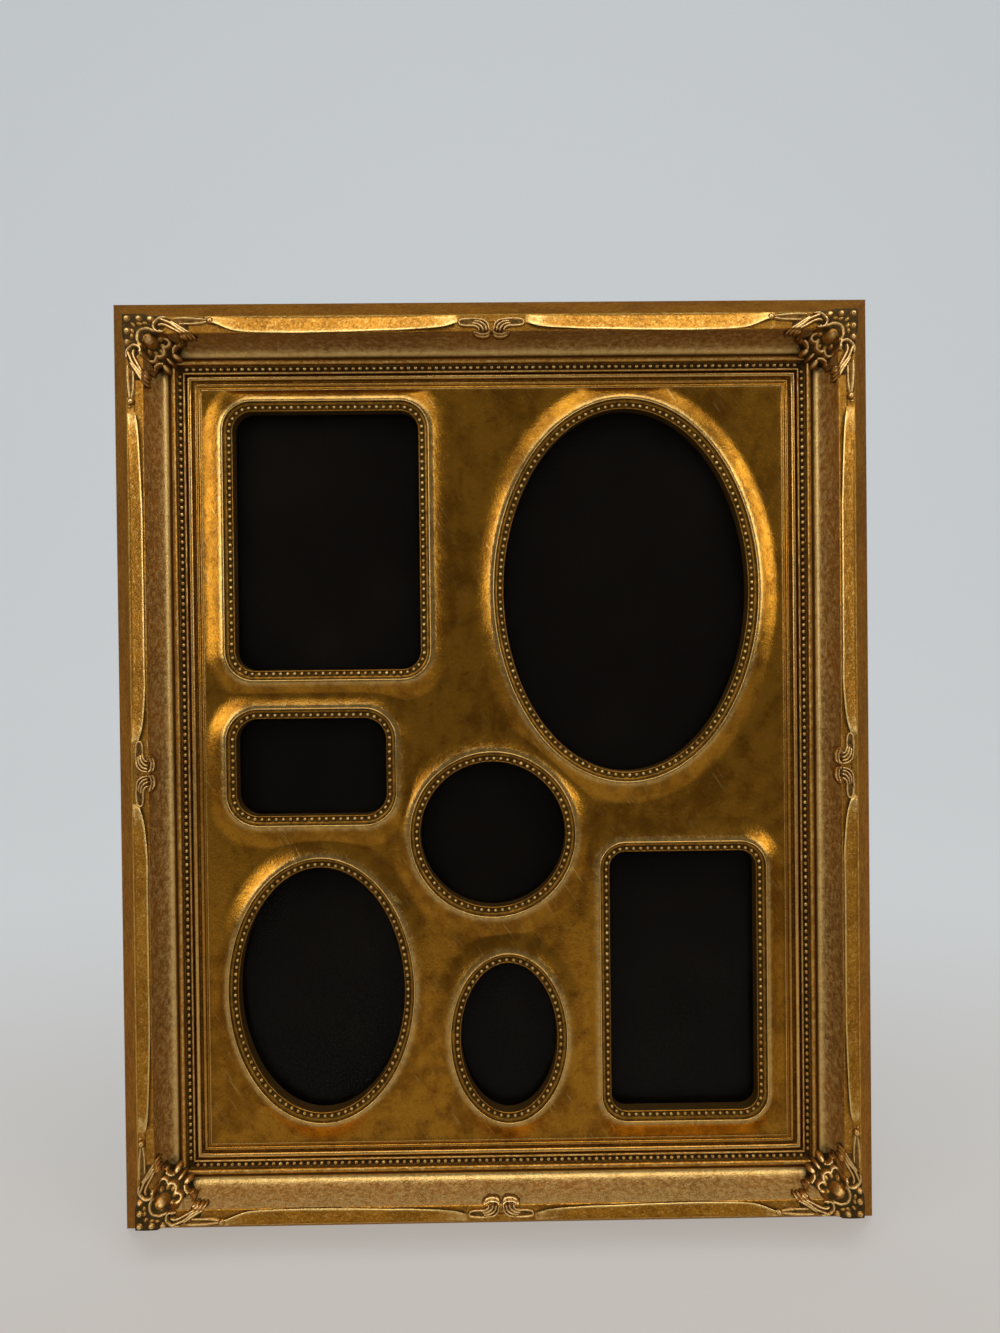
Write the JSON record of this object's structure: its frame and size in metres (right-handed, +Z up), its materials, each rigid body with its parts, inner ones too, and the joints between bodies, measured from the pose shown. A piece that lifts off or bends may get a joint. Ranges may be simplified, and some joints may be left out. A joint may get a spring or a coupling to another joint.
{
  "type": "collage photo frame",
  "caption": "Gilt swept picture frame with carved corner and centre ornaments, a pearl strip, a multi-window collage mat, glazing and an easel back",
  "frame": {"origin": "table height under the middle of the frame's box, standing on its easel", "axes": "+X to the viewer's right, +Y away from the viewer, +Z up; the frame leans back 10 degrees"},
  "size_m": [0.3308, 0.1109, 0.4023],
  "materials": {
    "gilt_moulding": "antique gold leaf over a red-brown ground, rubbed bright on the crests and dark in the hollows",
    "gilt_ornament": "cast composition, antique gold with dark greenish hollows",
    "gilt_pearls": "copper-brown gilt with a dark glaze between the pearls",
    "gilt_mat": "antique gold with blotchy olive-brown glaze on the field and bright collars",
    "clear_glass": "clear float glass",
    "black_card": "matt black card",
    "back_board": "hardboard covered with dark brown suede paper",
    "plated_steel": "bright zinc plate",
    "brass_plate": "brass-plated steel, slightly dull"
  },
  "bodies": {
    "frame": {"top_rail": "gilt_moulding", "bottom_rail": "gilt_moulding", "left_rail": "gilt_moulding", "right_rail": "gilt_moulding", "top_slip": "gilt_moulding", "bottom_slip": "gilt_moulding", "left_slip": "gilt_moulding", "right_slip": "gilt_moulding", "top_pearl_strip": "gilt_pearls", "bottom_pearl_strip": "gilt_pearls", "left_pearl_strip": "gilt_pearls", "right_pearl_strip": "gilt_pearls", "corner_ornament_top_left": "gilt_ornament", "corner_ornament_top_right": "gilt_ornament", "corner_ornament_bottom_left": "gilt_ornament", "corner_ornament_bottom_right": "gilt_ornament", "centre_ornament_top": "gilt_ornament", "centre_ornament_bottom": "gilt_ornament", "centre_ornament_left": "gilt_ornament", "centre_ornament_right": "gilt_ornament", "collage_mat": "gilt_mat", "glass_pane": "clear_glass", "backing_card": "black_card", "backboard": "back_board", "board_hinge_leaf": "plated_steel", "board_hinge_rivets": "plated_steel", "hinge_pin": "plated_steel", "turn_button_screws": "brass_plate", "hanger_strap_left": "brass_plate", "hanger_strap_right": "brass_plate", "hanger_screws": "brass_plate", "corner_nails": "plated_steel"},
    "leg": {"easel_leg": "back_board", "leg_hinge_leaf": "plated_steel", "leg_hinge_rivets": "plated_steel"},
    "turn_button_1": {"turn_button_1": "brass_plate"},
    "turn_button_2": {"turn_button_2": "brass_plate"},
    "turn_button_3": {"turn_button_3": "brass_plate"},
    "turn_button_4": {"turn_button_4": "brass_plate"},
    "ring_left": {"hanger_ring_left": "brass_plate"},
    "ring_right": {"hanger_ring_right": "brass_plate"}
  },
  "joints": [
    {"name": "leg_fold", "type": "hinge", "parent": "frame", "child": "leg", "pos_m": [0, 0.01954, 0.24582], "axis": [1, 0, 0], "range_deg": [-18, 0]},
    {"name": "turn_button_1_turn", "type": "hinge", "parent": "frame", "child": "turn_button_1", "pos_m": [-0.08001, 0.04125, 0.38161], "axis": [0, 0.9848, -0.1736], "continuous": true},
    {"name": "turn_button_2_turn", "type": "hinge", "parent": "frame", "child": "turn_button_2", "pos_m": [0.08001, 0.04125, 0.38161], "axis": [0, 0.9848, -0.1736], "continuous": true},
    {"name": "turn_button_3_turn", "type": "hinge", "parent": "frame", "child": "turn_button_3", "pos_m": [0.08001, -0.02267, 0.01911], "axis": [0, 0.9848, -0.1736], "continuous": true},
    {"name": "turn_button_4_turn", "type": "hinge", "parent": "frame", "child": "turn_button_4", "pos_m": [-0.08001, -0.02267, 0.01911], "axis": [0, 0.9848, -0.1736], "continuous": true},
    {"name": "ring_left_swing", "type": "hinge", "parent": "frame", "child": "ring_left", "pos_m": [-0.15315, 0.02729, 0.29119], "axis": [1, 0, 0], "range_deg": [-12, 172]},
    {"name": "ring_right_swing", "type": "hinge", "parent": "frame", "child": "ring_right", "pos_m": [0.15315, 0.02729, 0.29119], "axis": [1, 0, 0], "range_deg": [-12, 172]}
  ]
}
